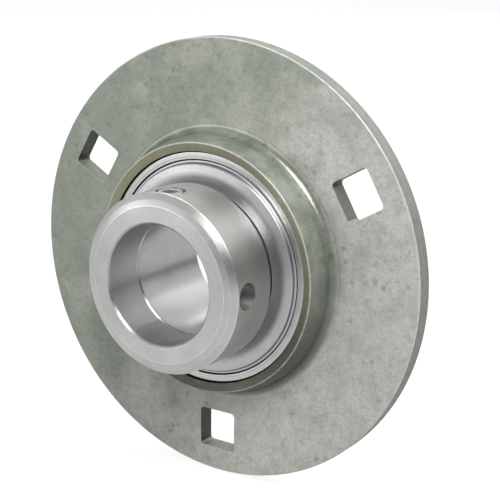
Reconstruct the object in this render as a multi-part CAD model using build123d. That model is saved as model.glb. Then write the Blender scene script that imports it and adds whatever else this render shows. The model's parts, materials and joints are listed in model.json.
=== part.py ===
from build123d import *
from math import asin, atan2, cos, radians, sin, sqrt, tan
import os

# Round three-bolt flange bearing unit: two pressed steel shells that grip a ball bearing with a
# spherical outer ring, and an eccentric collar that locks the inner ring to the shaft.
# Millimetres. The shaft runs along Y, the collar points towards -Y and +Z is up.
# The origin is the centre of the bearing, on the shaft axis, where the two shells meet.

# Pressed shells. The bolts stand on a circle of 76 and the flange is 95 across.
SHEET = 2.0
NECK_BEND = 1.8
LIP_OVERHANG = 0.5
LIP_ROUND = 0.25
RIM_ROUND = 0.35
RIM_MARGIN = 9.5
BOLT_STANDOFF = 12.0
BOLT_COUNT = 3
FIRST_BOLT_ANGLE = 30.0
BOLT_SQUARE = 8.8
BOLT_CORNER = 1.2
BOLT_EDGE_BREAK = 0.15

# Rings and balls. The sphere is 52 across.
SHAFT_DIAMETER = 25.0
RING_SECTION = 13.5
SEAT_CLEARANCE = 0.05
OUTER_RING_WIDTH = 15.0
OUTER_RING_CHAMFER = 0.5
LAND_WALL = 4.4
RING_CHAMFER = 0.4
BALL_DIAMETER = 7.938
BALL_COUNT = 9
BALL_CLEARANCE = 0.04
RACE_CONFORMITY = 0.52
SHOULDER_SHARE = 0.18

# Ball cage
CAGE_CLEARANCE = 0.7
CAGE_END_GAP = 0.35
CAGE_SETBACK = 1.5
POCKET_CLEARANCE = 0.15
RELIEF_WIDTH = 2.4
RELIEF_DEPTH = 3.4

# Seals, one at each side: two sheet washers with a rubber lip between them
SEAL_SEAT_WALL = 1.9
SEAL_RADIAL_GAP = 0.04
SEAL_INSET = 0.25
SEAL_BULGE = 0.85
SEAL_DEPTH = 0.95
INNER_WASHER_SHEET = 0.35
INNER_WASHER_STEP = 0.25
OUTER_WASHER_SHEET = 0.5
WASHER_HOLE_GAP = 0.25
WASHER_RIM = 0.95
WASHER_STEP = 0.25
SHEET_BEND = 0.05
CROWN_RISE = 0.45
CROWN_BEND = 3.0
CROWN_STRAIGHT_SHARE = 0.8
HUB_WIDTH = 1.45
HUB_SINK = 0.35
HUB_SLOPE = 0.1
RUBBER_BLOCK = 0.75
WEB_GAP = 0.12
WEB_THICKNESS = 0.4
LIP_LENGTH = 0.6
LIP_EDGE = 0.25
LIP_CLEARANCE = 0.05

# Eccentric locking collar
COLLAR_WALL = 6.25
COLLAR_GAP = 2.15
COLLAR_REAR_CHAMFER = 0.3
NOSE_BEVEL_RISE = 0.5
NOSE_BEVEL_SPREAD = 1.2
NOSE_CHAMFER_RISE = 0.95
NOSE_CHAMFER_SPREAD = 1.35
BORE_CHAMFER = 0.45
ECCENTRICITY = 0.8
ECCENTRIC_CLEARANCE = 0.35
BOSS_STEP = 0.5
BOSS_LENGTH = 3.4
BOSS_ROOT_GAP = 0.3
BOSS_END_GAP = 0.3
CROSS_HOLE_WALL = 1.7
CROSS_HOLE_SETBACK = 4.6
HOLE_EDGE_BREAK = 0.15
DRIFT_HOLE_DIAMETER = 5.5
DRIFT_HOLE_FLOOR = 2.2
DRILL_POINT_ANGLE = 118.0

# Grub screw
SCREW_DIAMETER = 6.0
SCREW_CLEARANCE = 0.03
SCREW_RECESS = 0.55
SCREW_TIP_GAP = 0.7
SCREW_END_CHAMFER = 0.5
SOCKET_FLATS = 3.0
SOCKET_FLOOR = 2.6
CUP_DIAMETER = 2.8
CUP_DEPTH = 0.7

# Radii
shaft_radius = SHAFT_DIAMETER / 2
sphere_radius = shaft_radius + RING_SECTION
seat_radius = sphere_radius + SEAT_CLEARANCE
bolt_radius = sphere_radius + BOLT_STANDOFF
flange_radius = bolt_radius + RIM_MARGIN
ball_radius = BALL_DIAMETER / 2
pitch_radius = (shaft_radius + sphere_radius) / 2
race_curve = RACE_CONFORMITY * BALL_DIAMETER
shoulder_radius = pitch_radius + ball_radius - SHOULDER_SHARE * BALL_DIAMETER
land_radius = shaft_radius + LAND_WALL
collar_radius = shaft_radius + COLLAR_WALL
boss_radius = land_radius - ECCENTRICITY - BOSS_STEP
recess_radius = boss_radius + ECCENTRIC_CLEARANCE
screw_radius = SCREW_DIAMETER / 2

# Stations of the outer ring and of what lies inside it, as distances from the centre
half_width = OUTER_RING_WIDTH / 2
seal_reach = half_width + SEAL_BULGE
outer_washer_back = half_width - SEAL_INSET - OUTER_WASHER_SHEET
inner_washer_front = outer_washer_back - SEAL_DEPTH
seal_floor = inner_washer_front - INNER_WASHER_SHEET
cage_reach = seal_floor - CAGE_END_GAP
seal_seat_radius = sqrt(sphere_radius**2 - half_width**2) - SEAL_SEAT_WALL
washer_radius = seal_seat_radius - SEAL_RADIAL_GAP
washer_hole_radius = land_radius + WASHER_HOLE_GAP

# Stations of the collar and of the boss it grips, from the rear of the collar to its nose
collar_rear = -(seal_reach + COLLAR_GAP)
boss_root = collar_rear + BOSS_ROOT_GAP
ring_front = collar_rear - BOSS_LENGTH
recess_floor = ring_front - BOSS_END_GAP
cross_hole_station = recess_floor - CROSS_HOLE_WALL - screw_radius
nose = cross_hole_station - CROSS_HOLE_SETBACK


def arc_about(centre, start, finish):
    """The shorter arc about a centre, from one point to another."""
    centre, start, finish = Vector(*centre), Vector(*start), Vector(*finish)
    towards = (start - centre).normalized() + (finish - centre).normalized()
    middle = centre + towards.normalized() * (start - centre).length
    return ThreePointArc(start, middle, finish)


def soften(section, corners, radius):
    """Rounds the corners of a flat section that lie nearest the given points."""
    picked = [section.vertices().sort_by_distance(Vector(*corner))[0] for corner in corners]
    return fillet(picked, radius)


def turned(section):
    """Turns a section, drawn as radius against station, about the shaft axis."""
    return revolve(section, Axis.Y)


def rod(radius, start, finish, offset=0.0):
    """A round bar along the shaft axis between two stations, shifted upwards by the offset."""
    length = finish - start
    return Pos(0, start + length / 2, offset) * Rot(90, 0, 0) * Cylinder(radius, length)


def to_rear(shape):
    """The same piece, turned to face the rear."""
    return mirror(shape, Plane.XZ)


def housing_shell():
    """The front pressed shell: a flat flange, a tight bend and a spherical seat for the bearing."""
    outside = seat_radius + SHEET
    bend_station = SHEET + NECK_BEND
    bend_distance = outside + NECK_BEND
    bend_radius = sqrt(bend_distance**2 - bend_station**2)
    lip_angle = asin((half_width + LIP_OVERHANG) / seat_radius)

    bend_centre = (bend_radius, -bend_station)
    rim_front = (flange_radius, -SHEET)
    rim_back = (flange_radius, 0)
    bend_front = (bend_radius, -SHEET)
    bend_back = (bend_radius, 0)
    neck_outside = tuple(value * outside / bend_distance for value in bend_centre)
    neck_inside = tuple(value * seat_radius / bend_distance for value in bend_centre)
    lip_outside = (outside * cos(lip_angle), -outside * sin(lip_angle))
    lip_inside = (seat_radius * cos(lip_angle), -seat_radius * sin(lip_angle))

    section = make_face(
        [
            Line(rim_back, rim_front),
            Line(rim_front, bend_front),
            arc_about(bend_centre, bend_front, neck_outside),
            arc_about((0, 0), neck_outside, lip_outside),
            Line(lip_outside, lip_inside),
            arc_about((0, 0), lip_inside, neck_inside),
            arc_about(bend_centre, neck_inside, bend_back),
            Line(bend_back, rim_back),
        ]
    )
    section = soften(section, [lip_outside, lip_inside], LIP_ROUND)
    section = soften(section, [rim_front], RIM_ROUND)
    shell = turned(section)

    mouth_width = BOLT_SQUARE + 2 * BOLT_EDGE_BREAK
    square = RectangleRounded(BOLT_SQUARE, BOLT_SQUARE, BOLT_CORNER)
    mouth = RectangleRounded(mouth_width, mouth_width, BOLT_CORNER)
    front_face = Plane(origin=(0, -SHEET, 0), x_dir=(1, 0, 0), z_dir=(0, -1, 0))
    for index in range(BOLT_COUNT):
        angle = FIRST_BOLT_ANGLE + index * 360 / BOLT_COUNT
        place = front_face * Rot(0, 0, angle) * Pos(bolt_radius, 0)
        shell -= extrude(place * square, -SHEET)
        shell -= loft([place * mouth, place * Pos(0, 0, -BOLT_EDGE_BREAK) * square])
    return shell


def outer_ring():
    """The spherical outer ring, with its raceway and a seat for a seal at each side."""
    groove_bottom = pitch_radius + ball_radius + BALL_CLEARANCE
    groove_centre = groove_bottom - race_curve
    groove_half = sqrt(race_curve**2 - (shoulder_radius - groove_centre) ** 2)
    face_radius = sqrt(sphere_radius**2 - half_width**2)
    corners = [(face_radius, -half_width), (face_radius, half_width)]

    section = make_face(
        [
            ThreePointArc(corners[0], (sphere_radius, 0), corners[1]),
            Polyline(
                corners[1],
                (seal_seat_radius, half_width),
                (seal_seat_radius, seal_floor),
                (shoulder_radius, seal_floor),
                (shoulder_radius, groove_half),
            ),
            ThreePointArc(
                (shoulder_radius, groove_half),
                (groove_bottom, 0),
                (shoulder_radius, -groove_half),
            ),
            Polyline(
                (shoulder_radius, -groove_half),
                (shoulder_radius, -seal_floor),
                (seal_seat_radius, -seal_floor),
                (seal_seat_radius, -half_width),
                corners[0],
            ),
        ]
    )
    section = soften(section, corners, OUTER_RING_CHAMFER)
    return turned(section)


def end_cone(radius, station, size):
    """The cutter for a 45 degree chamfer at the front end of a bore."""
    cone = Polyline(
        (0, station),
        (radius + size, station),
        (radius, station + size),
        (0, station + size),
        close=True,
    )
    return turned(make_face(cone))


def inner_ring():
    """The inner ring: a plain land cut by the raceway, and the eccentric boss at the front."""
    groove_bottom = pitch_radius - ball_radius - BALL_CLEARANCE
    groove_centre = groove_bottom + race_curve
    groove_half = sqrt(race_curve**2 - (groove_centre - land_radius) ** 2)

    section = make_face(
        [
            Polyline(
                (land_radius, groove_half),
                (land_radius, half_width - RING_CHAMFER),
                (land_radius - RING_CHAMFER, half_width),
                (shaft_radius + RING_CHAMFER, half_width),
                (shaft_radius, half_width - RING_CHAMFER),
                (shaft_radius, boss_root),
                (land_radius, boss_root),
                (land_radius, -groove_half),
            ),
            ThreePointArc(
                (land_radius, -groove_half),
                (groove_bottom, 0),
                (land_radius, groove_half),
            ),
        ]
    )
    boss = rod(boss_radius, ring_front, boss_root, ECCENTRICITY)
    boss = chamfer(boss.edges().group_by(Axis.Y)[0], RING_CHAMFER)
    boss -= rod(shaft_radius, ring_front, boss_root)
    boss -= end_cone(shaft_radius, ring_front, RING_CHAMFER)
    return turned(section) + boss


def ball(index):
    """One ball, in its place on the pitch circle; the first lies straight up."""
    angle = radians(90 + index * 360 / BALL_COUNT)
    return Pos(pitch_radius * cos(angle), 0, pitch_radius * sin(angle)) * Sphere(ball_radius)


def cage():
    """The snap cage: a back ring with open pockets, and a relief slot between each two balls."""
    inside = land_radius + CAGE_CLEARANCE
    outside = shoulder_radius - CAGE_CLEARANCE
    mouth = CAGE_SETBACK - ball_radius
    body = rod(outside, mouth, cage_reach) - rod(inside, mouth, cage_reach)
    pocket = Sphere(ball_radius + POCKET_CLEARANCE)
    slot = Box(RELIEF_WIDTH, RELIEF_DEPTH, 2 * (outside - inside))
    step = 360 / BALL_COUNT
    for index in range(BALL_COUNT):
        body -= Rot(0, index * step, 0) * Pos(0, 0, pitch_radius) * pocket
        middle = Pos(0, mouth + RELIEF_DEPTH / 2, pitch_radius)
        body -= Rot(0, (index + 0.5) * step, 0) * middle * slot
    return body


def bent_sheet(points, thickness, bends):
    """A sheet's section: a bent path and the same path set off to its left by the thickness."""
    points = [Vector(*point) for point in points]
    runs = [(after - before).normalized() for before, after in zip(points, points[1:])]
    lefts = [run.rotate(Axis.Z, 90) for run in runs]
    far = [points[0] + lefts[0] * thickness]
    near_bends = []
    far_bends = []
    for index, bend in enumerate(bends):
        mitre = (lefts[index] + lefts[index + 1]).normalized()
        far.append(points[index + 1] + mitre * (thickness / mitre.dot(lefts[index])))
        turns_left = runs[index].cross(runs[index + 1]).Z > 0
        near_bends.append(bend + thickness if turns_left else bend)
        far_bends.append(bend if turns_left else bend + thickness)
    far.append(points[-1] + lefts[-1] * thickness)
    near_path = FilletPolyline(*points, radius=near_bends)
    far_path = FilletPolyline(*far, radius=far_bends)
    ends = Line(points[0], far[0]).edges() + Line(points[-1], far[-1]).edges()
    return make_face(near_path.edges() + far_path.edges() + ends)


def outer_seal_washer():
    """The outer sheet washer of the front seal: a flat rim, a crowned face and a sunk hub."""
    rim_inside = washer_radius - WASHER_RIM
    crown_outside = rim_inside - WASHER_STEP
    hub_outside = washer_hole_radius + HUB_WIDTH
    crown_inside = hub_outside + WASHER_STEP
    crown_middle = (crown_outside + crown_inside) / 2

    slope = atan2(CROWN_RISE, crown_outside - crown_middle)
    straight = CROWN_STRAIGHT_SHARE * CROWN_RISE / sin(slope)
    crown_bend = min(CROWN_BEND, straight / tan(slope) - OUTER_WASHER_SHEET)
    rounded_off = crown_bend * (1 / cos(slope) - 1)
    crown_top = seal_reach - OUTER_WASHER_SHEET + rounded_off
    crown_foot = crown_top - CROWN_RISE
    hub_face = crown_foot - HUB_SINK
    points = [
        (washer_radius, -outer_washer_back),
        (rim_inside, -outer_washer_back),
        (crown_outside, -crown_foot),
        (crown_middle, -crown_top),
        (crown_inside, -crown_foot),
        (hub_outside, -hub_face),
        (washer_hole_radius, HUB_SLOPE - hub_face),
    ]
    bends = [SHEET_BEND, SHEET_BEND, crown_bend, SHEET_BEND, SHEET_BEND]
    return turned(bent_sheet(points, OUTER_WASHER_SHEET, bends))


def inner_seal_washer():
    """The inner sheet washer of the front seal, stepped forwards to clear the cage."""
    step_outside = washer_radius - WASHER_RIM - WASHER_STEP
    stepped_back = seal_floor + INNER_WASHER_STEP
    points = [
        (washer_radius, -seal_floor),
        (step_outside, -seal_floor),
        (step_outside - INNER_WASHER_STEP, -stepped_back),
        (washer_hole_radius, -stepped_back),
    ]
    return turned(bent_sheet(points, INNER_WASHER_SHEET, [SHEET_BEND, SHEET_BEND]))


def seal_lip():
    """The rubber of the front seal: a block held between the washers, a thin web and a lip."""
    block = washer_radius - RUBBER_BLOCK
    web_back = -(inner_washer_front + INNER_WASHER_STEP + WEB_GAP)
    web_front = web_back - WEB_THICKNESS
    tip = land_radius + LIP_CLEARANCE
    root = tip + LIP_LENGTH
    section = Polyline(
        (washer_radius, -inner_washer_front),
        (block, -inner_washer_front),
        (block, web_back),
        (root, web_back),
        (tip, web_front + LIP_EDGE / 2),
        (tip, web_front - LIP_EDGE / 2),
        (root, web_front),
        (block, web_front),
        (block, -outer_washer_back),
        (washer_radius, -outer_washer_back),
        close=True,
    )
    return turned(make_face(section))


def cross_hole(radius, floor, angle):
    """The cutter for a hole square to the shaft, down to a floor, with a broken rim outside."""
    top = collar_radius + radius
    bar = Pos(0, 0, (floor + top) / 2) * Cylinder(radius, top - floor)
    rim = sqrt(collar_radius**2 - radius**2) - HOLE_EDGE_BREAK
    sink = Pos(0, 0, (rim + top) / 2) * Cone(radius, radius + top - rim, top - rim)
    return Rot(0, angle, 0) * Pos(0, cross_hole_station, 0) * (bar + sink)


def locking_collar():
    """The eccentric collar: a broad nose, a bore for the shaft and a recess for the boss."""
    bevel = collar_radius - NOSE_CHAMFER_SPREAD
    section = Polyline(
        (shaft_radius, nose + BORE_CHAMFER),
        (shaft_radius + BORE_CHAMFER, nose),
        (bevel - NOSE_BEVEL_SPREAD, nose),
        (bevel, nose + NOSE_BEVEL_RISE),
        (collar_radius, nose + NOSE_BEVEL_RISE + NOSE_CHAMFER_RISE),
        (collar_radius, collar_rear - COLLAR_REAR_CHAMFER),
        (collar_radius - COLLAR_REAR_CHAMFER, collar_rear),
        (shaft_radius, collar_rear),
        close=True,
    )
    collar = turned(make_face(section))
    collar -= rod(recess_radius, recess_floor, collar_rear, ECCENTRICITY)

    drift_hole = DRIFT_HOLE_DIAMETER / 2
    drift_floor = shaft_radius + DRIFT_HOLE_FLOOR
    collar -= cross_hole(screw_radius + SCREW_CLEARANCE, 0, 0)
    collar -= cross_hole(drift_hole, drift_floor, 90)
    point = drift_hole / tan(radians(DRILL_POINT_ANGLE / 2))
    tip = Pos(drift_floor - point / 2, cross_hole_station, 0) * Rot(0, -90, 0)
    collar -= tip * Cone(drift_hole, 0, point)
    return collar


def grub_screw():
    """The grub screw, a little below the collar's surface, with a hexagon socket and a cup point."""
    length = COLLAR_WALL - SCREW_RECESS - SCREW_TIP_GAP
    body = Cylinder(screw_radius, length)
    ends = body.edges().filter_by(GeomType.CIRCLE)
    body = chamfer(ends, SCREW_END_CHAMFER)
    socket = RegularPolygon(SOCKET_FLATS / 2, 6, major_radius=False)
    body -= Pos(0, 0, length / 2) * extrude(socket, SOCKET_FLOOR - length)
    body -= Pos(0, 0, CUP_DEPTH / 2 - length / 2) * Cone(CUP_DIAMETER / 2, 0, CUP_DEPTH)
    return Pos(0, cross_hole_station, collar_radius - SCREW_RECESS - length / 2) * body


def main():
    """Writes each piece to its own file."""
    shell = housing_shell()
    washer = outer_seal_washer()
    backing = inner_seal_washer()
    rubber = seal_lip()
    pieces = {
        "front_housing_shell": shell,
        "rear_housing_shell": to_rear(shell),
        "outer_ring": outer_ring(),
        "inner_ring": inner_ring(),
        "cage": cage(),
        "front_seal_outer_washer": washer,
        "front_seal_inner_washer": backing,
        "front_seal_lip": rubber,
        "rear_seal_outer_washer": to_rear(washer),
        "rear_seal_inner_washer": to_rear(backing),
        "rear_seal_lip": to_rear(rubber),
        "locking_collar": locking_collar(),
        "grub_screw": grub_screw(),
    }
    for index in range(BALL_COUNT):
        pieces[f"ball_{index + 1}"] = ball(index)
    os.makedirs("parts", exist_ok=True)
    for name, shape in pieces.items():
        export_step(shape, f"parts/{name}.step")


main()
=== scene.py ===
"""Looks of a round three-bolt flange bearing unit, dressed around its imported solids."""

import json
import logging
import math
from dataclasses import dataclass, field
from enum import Enum
from functools import partial, reduce
from typing import Any, Iterable, NamedTuple, Sequence

import bmesh
import bpy
from mathutils import Matrix, Vector


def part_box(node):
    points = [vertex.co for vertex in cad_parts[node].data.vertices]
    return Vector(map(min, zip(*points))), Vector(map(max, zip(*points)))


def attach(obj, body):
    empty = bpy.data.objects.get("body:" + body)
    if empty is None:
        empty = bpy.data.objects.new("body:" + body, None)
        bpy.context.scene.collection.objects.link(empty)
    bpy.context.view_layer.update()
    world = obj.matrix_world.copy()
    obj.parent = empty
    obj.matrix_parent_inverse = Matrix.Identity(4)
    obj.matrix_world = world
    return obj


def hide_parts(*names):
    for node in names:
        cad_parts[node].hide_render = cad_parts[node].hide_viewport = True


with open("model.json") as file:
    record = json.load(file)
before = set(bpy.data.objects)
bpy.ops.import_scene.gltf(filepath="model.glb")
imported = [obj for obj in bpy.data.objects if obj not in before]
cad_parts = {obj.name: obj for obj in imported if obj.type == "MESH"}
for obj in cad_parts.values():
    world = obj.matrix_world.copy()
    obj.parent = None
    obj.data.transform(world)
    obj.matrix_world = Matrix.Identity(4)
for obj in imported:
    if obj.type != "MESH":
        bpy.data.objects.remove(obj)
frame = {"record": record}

LOG = logging.getLogger("flange_unit")
MM = 0.001
TURN = 2 * math.pi
# Point mark for edge rubbing and a painted highlight on the edges
WEAR_AND_GLINT = "worn"
SHARP = math.radians(50)
MERGE_DISTANCE = 1e-8
SLIVER = 1e-9
SAME_STATION = 1e-6
BEVEL_STEPS = 2
Socket = bpy.types.NodeSocket


class Side(Enum):
    """Which face of the flange a piece belongs to, as the sign of its station."""

    FRONT = -1
    REAR = 1

    @property
    def word(self) -> str:
        """The side's name in small letters."""
        return self.name.lower()


class Spot(NamedTuple):
    """A corner of a turned outline: radius, station, lift off the shaft axis, and a mark for edge
    rubbing with a painted highlight.
    """

    radius: float
    station: float
    lift: float = 0.0
    worn: float = 0.0

    def towards(self, other: "Spot", share: float) -> "Spot":
        """The spot at a share of the way to another one.

        Args:
            other: The spot to move towards.
            share: How far, from 0 to 1.

        Returns:
            The spot between the two.
        """
        return Spot(*(a + (b - a) * share for a, b in zip(self, other)))

    def away_from(self, other: "Spot") -> float:
        """The distance to another spot, lift left out.

        Args:
            other: The other spot.

        Returns:
            The distance in metres.
        """
        return math.hypot(self.radius - other.radius, self.station - other.station)


@dataclass
class Outline:
    """A closed outline that is turned about the shaft axis, with corners that may be softened.

    The softness of a corner says how far from it its rounding starts.
    """

    spots: list[Spot] = field(default_factory=list)
    softness: dict[int, float] = field(default_factory=dict)
    soft_steps: int = 4

    def to(
        self, radius: float, station: float, soft: float = 0.0, lift: float = 0.0, worn: float = 0.0
    ) -> "Outline":
        """Adds a corner.

        Args:
            radius: Distance from the shaft axis.
            station: Place along the shaft.
            soft: How far from the corner its rounding starts.
            lift: Shift of the whole circle upwards, for an eccentric stretch.
            worn: How far the rounding of the corner shows edge rubbing and a painted highlight.

        Returns:
            The outline itself, so that calls chain.
        """
        if soft:
            self.softness[len(self.spots)] = soft
        self.spots.append(Spot(radius, station, lift, worn))
        return self

    def arc(
        self, centre: Spot, end: Spot, steps: int = 16, soft: float = 0.0, worn: float = 0.0
    ) -> "Outline":
        """Adds the shorter arc about a centre, from the last corner to an end.

        Args:
            centre: Centre of the arc.
            end: Last spot of the arc.
            steps: Number of chords.
            soft: Softness of the end's corner.
            worn: How far the end's corner shows edge rubbing and a painted highlight.

        Returns:
            The outline itself.
        """
        start = self.spots[-1]
        radius = centre.away_from(start)
        first = math.atan2(start.station - centre.station, start.radius - centre.radius)
        last = math.atan2(end.station - centre.station, end.radius - centre.radius)
        sweep = (last - first + math.pi) % TURN - math.pi
        for step in range(1, steps):
            angle = first + sweep * step / steps
            self.to(
                centre.radius + radius * math.cos(angle),
                centre.station + radius * math.sin(angle),
            )
        return self.to(end.radius, end.station, soft, worn=worn)

    def softened(self) -> list[Spot]:
        """The outline with its soft corners rounded.

        Returns:
            The spots of the finished outline.
        """
        count = len(self.spots)
        lengths = [self.spots[i].away_from(self.spots[(i + 1) % count]) for i in range(count)]
        starts = [sum(lengths[:i]) for i in range(count)]
        total = sum(lengths)

        def at(place: float) -> Spot:
            """The spot at a distance along the outline."""
            place %= total
            index = max(i for i in range(count) if starts[i] <= place)
            share = (place - starts[index]) / max(lengths[index], SLIVER)
            return self.spots[index].towards(self.spots[(index + 1) % count], share)

        def cut_away(place: float) -> bool:
            """Whether a rounding takes this stretch of the outline away."""
            gaps = (
                (min((place - starts[i]) % total, (starts[i] - place) % total), soft)
                for i, soft in self.softness.items()
            )
            return any(gap < soft for gap, soft in gaps)

        rounded: list[Spot] = []
        for index, corner in enumerate(self.spots):
            soft = self.softness.get(index, 0.0)
            if soft:
                before, after = at(starts[index] - soft), at(starts[index] + soft)
                for step in range(self.soft_steps + 1):
                    share = step / self.soft_steps
                    first, second = before.towards(corner, share), corner.towards(after, share)
                    spot = first.towards(second, share)
                    rounded.append(spot._replace(worn=corner.worn if 0.0 < share < 1.0 else 0.0))
            elif not cut_away(starts[index]):
                rounded.append(corner)
        return rounded

    def facing(self, side: Side) -> "Outline":
        """The same outline for one side, drawn for the front.

        Args:
            side: The side that the piece faces.

        Returns:
            The outline, mirrored if it faces the rear.
        """
        if side is Side.FRONT:
            return self
        spots = [spot._replace(station=-spot.station) for spot in self.spots]
        return Outline(spots, dict(self.softness), self.soft_steps)


@dataclass(frozen=True)
class Gauge:
    """Driving sizes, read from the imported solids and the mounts, in metres."""

    shaft_radius: float
    flange_radius: float
    bolt_radius: float
    first_bolt_angle: float
    sphere_radius: float
    half_width: float
    washer_radius: float
    seal_reach: float
    land_radius: float
    ring_front: float
    collar_radius: float
    collar_rear: float
    nose: float
    screw_radius: float
    screw_top: float
    screw_foot: float
    cross_hole_station: float

    @property
    def face_radius(self) -> float:
        """Radius at which the outer ring's sphere meets its faces."""
        return math.sqrt(self.sphere_radius**2 - self.half_width**2)

    @classmethod
    def read(cls) -> "Gauge":
        """Reads the frame.

        Returns:
            The sizes that the pieces share.
        """
        mounts = {mount["name"]: mount for mount in frame["record"]["mounts"]}
        bolt = Vector(mounts["upper_right_bolt"]["pos_m"])
        washer_low, washer_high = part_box("front_seal_outer_washer")
        ring_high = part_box("outer_ring")[1]
        inner_low, inner_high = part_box("inner_ring")
        collar_low, collar_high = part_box("locking_collar")
        screw_low, screw_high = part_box("grub_screw")
        return cls(
            shaft_radius=mounts["shaft_bore"]["dims"]["r_mm"] * MM,
            flange_radius=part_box("front_housing_shell")[1].x,
            bolt_radius=bolt.length,
            first_bolt_angle=math.atan2(bolt.z, bolt.x),
            sphere_radius=ring_high.x,
            half_width=ring_high.y,
            washer_radius=washer_high.x,
            seal_reach=-washer_low.y,
            land_radius=inner_high.x,
            ring_front=inner_low.y,
            collar_radius=collar_high.x,
            collar_rear=collar_high.y,
            nose=collar_low.y,
            screw_radius=(screw_high.x - screw_low.x) / 2,
            screw_top=screw_high.z,
            screw_foot=screw_low.z,
            cross_hole_station=(screw_low.y + screw_high.y) / 2,
        )


def new_object(name: str, mesh: bpy.types.Mesh) -> bpy.types.Object:
    """Links a mesh into the scene as an object at the origin.

    Args:
        name: Name of the object.
        mesh: Its mesh.

    Returns:
        The object.
    """
    piece = bpy.data.objects.new(name, mesh)
    bpy.context.scene.collection.objects.link(piece)
    return piece


def turned(name: str, outline: Outline, segments: int = 256) -> bpy.types.Object:
    """Turns an outline about the shaft axis into a closed solid.

    Args:
        name: Name of the object.
        outline: The section.
        segments: Number of steps round the axis.

    Returns:
        The object, with its faces outwards.
    """
    loop = outline.softened()
    count = len(loop)
    points = []
    for step in range(segments):
        cosine, sine = math.cos(TURN * step / segments), math.sin(TURN * step / segments)
        points.extend((s.radius * cosine, s.station, s.radius * sine + s.lift) for s in loop)
    faces = []
    for here in range(segments):
        there = (here + 1) % segments
        for index in range(count):
            after = (index + 1) % count
            faces.append(
                (
                    here * count + index,
                    here * count + after,
                    there * count + after,
                    there * count + index,
                )
            )
    mesh = bpy.data.meshes.new(name)
    mesh.from_pydata(points, [], faces)
    # Edge mark for rubbing and a painted highlight, which the materials read
    worn = mesh.attributes.new(WEAR_AND_GLINT, "FLOAT", "POINT")
    worn.data.foreach_set("value", [spot.worn for _ in range(segments) for spot in loop])
    closed(mesh)
    return new_object(name, mesh)


def closed(mesh: bpy.types.Mesh) -> None:
    """Merges doubled points, as at a pole, and turns the faces outwards.

    Args:
        mesh: The mesh to clean.
    """
    work = bmesh.new()
    work.from_mesh(mesh)
    bmesh.ops.remove_doubles(work, verts=work.verts, dist=MERGE_DISTANCE)
    bmesh.ops.dissolve_degenerate(work, edges=work.edges, dist=SLIVER)
    bmesh.ops.recalc_face_normals(work, faces=work.faces)
    work.to_mesh(mesh)
    work.free()


def prism(
    name: str, corners: Sequence[tuple[float, float]], low: float, high: float
) -> bpy.types.Object:
    """A straight prism along Y.

    Args:
        name: Name of the object.
        corners: The section, as X and Z.
        low: Station of one end.
        high: Station of the other end.

    Returns:
        The object.
    """
    count = len(corners)
    points = [(x, y, z) for y in (low, high) for x, z in corners]
    faces = [tuple(range(count)), tuple(range(count, 2 * count))]
    faces += [(i, (i + 1) % count, count + (i + 1) % count, count + i) for i in range(count)]
    mesh = bpy.data.meshes.new(name)
    mesh.from_pydata(points, [], faces)
    closed(mesh)
    return new_object(name, mesh)


def sphere(name: str, radius: float, steps_round: int, centre: Sequence[float]) -> bpy.types.Object:
    """A round ball.

    Args:
        name: Name of the object.
        radius: Its radius.
        steps_round: Steps round its equator.
        centre: Its centre.

    Returns:
        The object.
    """
    work = bmesh.new()
    bmesh.ops.create_uvsphere(
        work,
        u_segments=steps_round,
        v_segments=steps_round // 2,
        radius=radius,
        matrix=Matrix.Translation(centre),
    )
    mesh = bpy.data.meshes.new(name)
    work.to_mesh(mesh)
    work.free()
    return new_object(name, mesh)


def stood_up(piece: bpy.types.Object, station: float, angle: float = 0.0) -> bpy.types.Object:
    """Stands a mesh that was made along Y square to the shaft.

    Args:
        piece: The object, whose own place stays at the origin.
        station: Where along the shaft it stands.
        angle: Turn about the shaft, 0 for straight up.

    Returns:
        The object.
    """
    upright = Matrix.Rotation(math.pi / 2, 4, "X")
    turn = Matrix.Rotation(angle, 4, "Y")
    piece.data.transform(Matrix.Translation((0.0, station, 0.0)) @ turn @ upright)
    return piece


def rounded_square(width: float, corner: float, steps: int = 6) -> list[tuple[float, float]]:
    """The outline of a square with rounded corners.

    Args:
        width: Distance across the flats.
        corner: Radius of the corners.
        steps: Chords in each corner.

    Returns:
        The corners in order.
    """
    inset = width / 2 - corner
    outline = []
    for quarter in range(4):
        middle = TURN * (quarter + 0.5) / 4
        centre_x = math.copysign(inset, math.cos(middle))
        centre_z = math.copysign(inset, math.sin(middle))
        for step in range(steps + 1):
            angle = TURN * (quarter + step / steps) / 4
            outline.append(
                (centre_x + corner * math.cos(angle), centre_z + corner * math.sin(angle))
            )
    return outline


def plain(piece: bpy.types.Object) -> bpy.types.Object:
    """Turns what an object's modifiers make into its own plain mesh.

    Args:
        piece: The object.

    Returns:
        The same object, with no modifiers left.
    """
    bpy.context.view_layer.update()
    graph = bpy.context.evaluated_depsgraph_get()
    evaluated = piece.evaluated_get(graph)
    mesh = bpy.data.meshes.new_from_object(
        evaluated, preserve_all_data_layers=True, depsgraph=graph
    )
    piece.modifiers.clear()
    piece.data = mesh
    return piece


def cut(piece: bpy.types.Object, tools: Iterable[bpy.types.Object]) -> bpy.types.Object:
    """Cuts tools out of a piece and removes them.

    Args:
        piece: The piece to cut.
        tools: The cutting solids.

    Returns:
        The piece.
    """
    tools = list(tools)
    for tool in tools:
        modifier = piece.modifiers.new(tool.name, "BOOLEAN")
        modifier.operation = "DIFFERENCE"
        modifier.solver = "EXACT"
        modifier.object = tool
    plain(piece)
    for tool in tools:
        bpy.data.objects.remove(tool)
    return piece


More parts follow.
